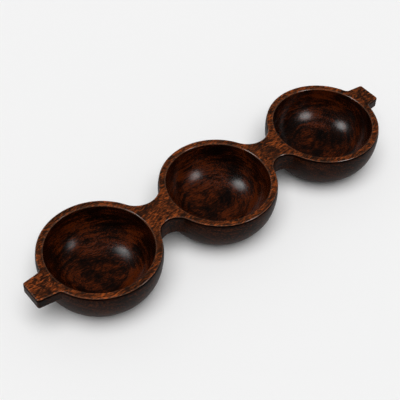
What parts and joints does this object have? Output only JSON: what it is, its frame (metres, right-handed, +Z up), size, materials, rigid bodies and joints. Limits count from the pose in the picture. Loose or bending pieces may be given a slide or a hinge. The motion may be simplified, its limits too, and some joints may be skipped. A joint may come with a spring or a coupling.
{
  "type": "three-compartment tray",
  "caption": "Long wooden serving tray: round bowls in a row, joined by short necks under one flat rim plane, with a square tab handle at each end.",
  "frame": {"origin": "centre of the middle bowl's foot, on the table surface", "axes": "+X along the row of bowls, towards the right bowl; +Y to the back; +Z up, towards the open side of the bowls"},
  "size_m": [0.3694, 0.1012, 0.042],
  "materials": {
    "figured_rosewood": "dark figured rosewood, sanded smooth and oiled to a soft satin sheen",
    "plain_beech": "bare beech dowel, straight-fluted, hidden inside the neck joints"
  },
  "bodies": {
    "root": {"bowl_left": "figured_rosewood", "bowl_middle": "figured_rosewood", "bowl_right": "figured_rosewood", "dowel_left_front": "plain_beech", "dowel_left_back": "plain_beech", "dowel_right_front": "plain_beech", "dowel_right_back": "plain_beech"}
  },
  "joints": []
}
